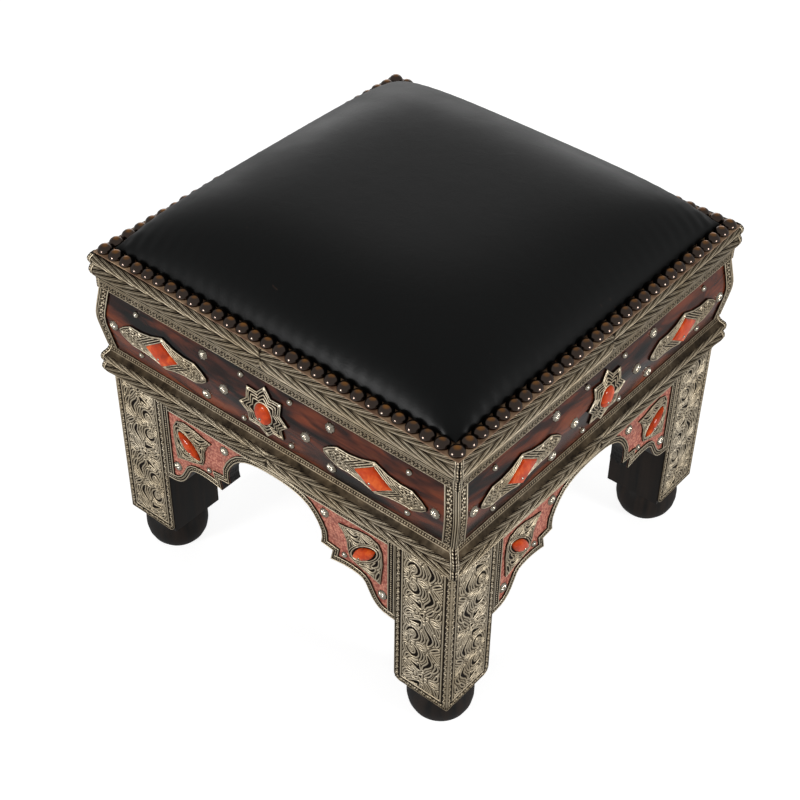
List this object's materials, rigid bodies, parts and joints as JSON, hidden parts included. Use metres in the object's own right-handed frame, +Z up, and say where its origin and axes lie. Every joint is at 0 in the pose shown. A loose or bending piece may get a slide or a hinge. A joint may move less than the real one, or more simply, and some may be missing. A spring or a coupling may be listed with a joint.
{
  "type": "moroccan kursi stool",
  "caption": "Square footstool with clad corner legs, cusped lambrequin aprons, a bowed frieze with gem-set plaques, herringbone mouldings and a domed leather seat edged with nails.",
  "frame": {"origin": "on the floor, in the middle between the four feet", "axes": "+Z up; the four sides face -Y, +X, +Y and -X"},
  "size_m": [0.4052, 0.4052, 0.3943],
  "materials": {
    "plain_wood": "raw",
    "wadding": "matte",
    "seat_leather": "smooth satin",
    "bronze_nails": "antique polished",
    "clad_moulding": "clad in embossed nickel silver, darkened in the grooves",
    "veneer": "lacquered",
    "pink_panel": "stippled paint",
    "embossed_sheet": "embossed nickel silver, darkened in the grooves",
    "gem_plaque": "embossed nickel silver",
    "black_wood": "painted",
    "black_foot": "painted"
  },
  "bodies": {
    "root": {"seat_board": "plain_wood", "seat_padding": "wadding", "leather_cover": "seat_leather", "nailed_hem": "bronze_nails", "front_rim_rail": "clad_moulding", "right_rim_rail": "clad_moulding", "back_rim_rail": "clad_moulding", "left_rim_rail": "clad_moulding", "front_frieze_board": "veneer", "right_frieze_board": "veneer", "back_frieze_board": "veneer", "left_frieze_board": "veneer", "front_lower_moulding": "clad_moulding", "right_lower_moulding": "clad_moulding", "back_lower_moulding": "clad_moulding", "left_lower_moulding": "clad_moulding", "front_apron_board": "pink_panel", "right_apron_board": "pink_panel", "back_apron_board": "pink_panel", "left_apron_board": "pink_panel", "front_apron_trim": "embossed_sheet", "right_apron_trim": "embossed_sheet", "back_apron_trim": "embossed_sheet", "left_apron_trim": "embossed_sheet", "front_star_plaque": "gem_plaque", "right_star_plaque": "gem_plaque", "back_star_plaque": "gem_plaque", "left_star_plaque": "gem_plaque", "front_lozenge_plaque_1": "gem_plaque", "right_lozenge_plaque_1": "gem_plaque", "back_lozenge_plaque_1": "gem_plaque", "left_lozenge_plaque_1": "gem_plaque", "front_lozenge_plaque_2": "gem_plaque", "right_lozenge_plaque_2": "gem_plaque", "back_lozenge_plaque_2": "gem_plaque", "left_lozenge_plaque_2": "gem_plaque", "front_leaf_plaque_1": "gem_plaque", "right_leaf_plaque_1": "gem_plaque", "back_leaf_plaque_1": "gem_plaque", "left_leaf_plaque_1": "gem_plaque", "front_leaf_plaque_2": "gem_plaque", "right_leaf_plaque_2": "gem_plaque", "back_leaf_plaque_2": "gem_plaque", "left_leaf_plaque_2": "gem_plaque", "front_right_post": "black_wood", "right_back_post": "black_wood", "back_left_post": "black_wood", "left_front_post": "black_wood", "front_right_leg_cladding": "embossed_sheet", "right_back_leg_cladding": "embossed_sheet", "back_left_leg_cladding": "embossed_sheet", "left_front_leg_cladding": "embossed_sheet", "front_right_frieze_strip": "embossed_sheet", "right_back_frieze_strip": "embossed_sheet", "back_left_frieze_strip": "embossed_sheet", "left_front_frieze_strip": "embossed_sheet", "front_right_foot": "black_foot", "right_back_foot": "black_foot", "back_left_foot": "black_foot", "left_front_foot": "black_foot"}
  },
  "joints": []
}
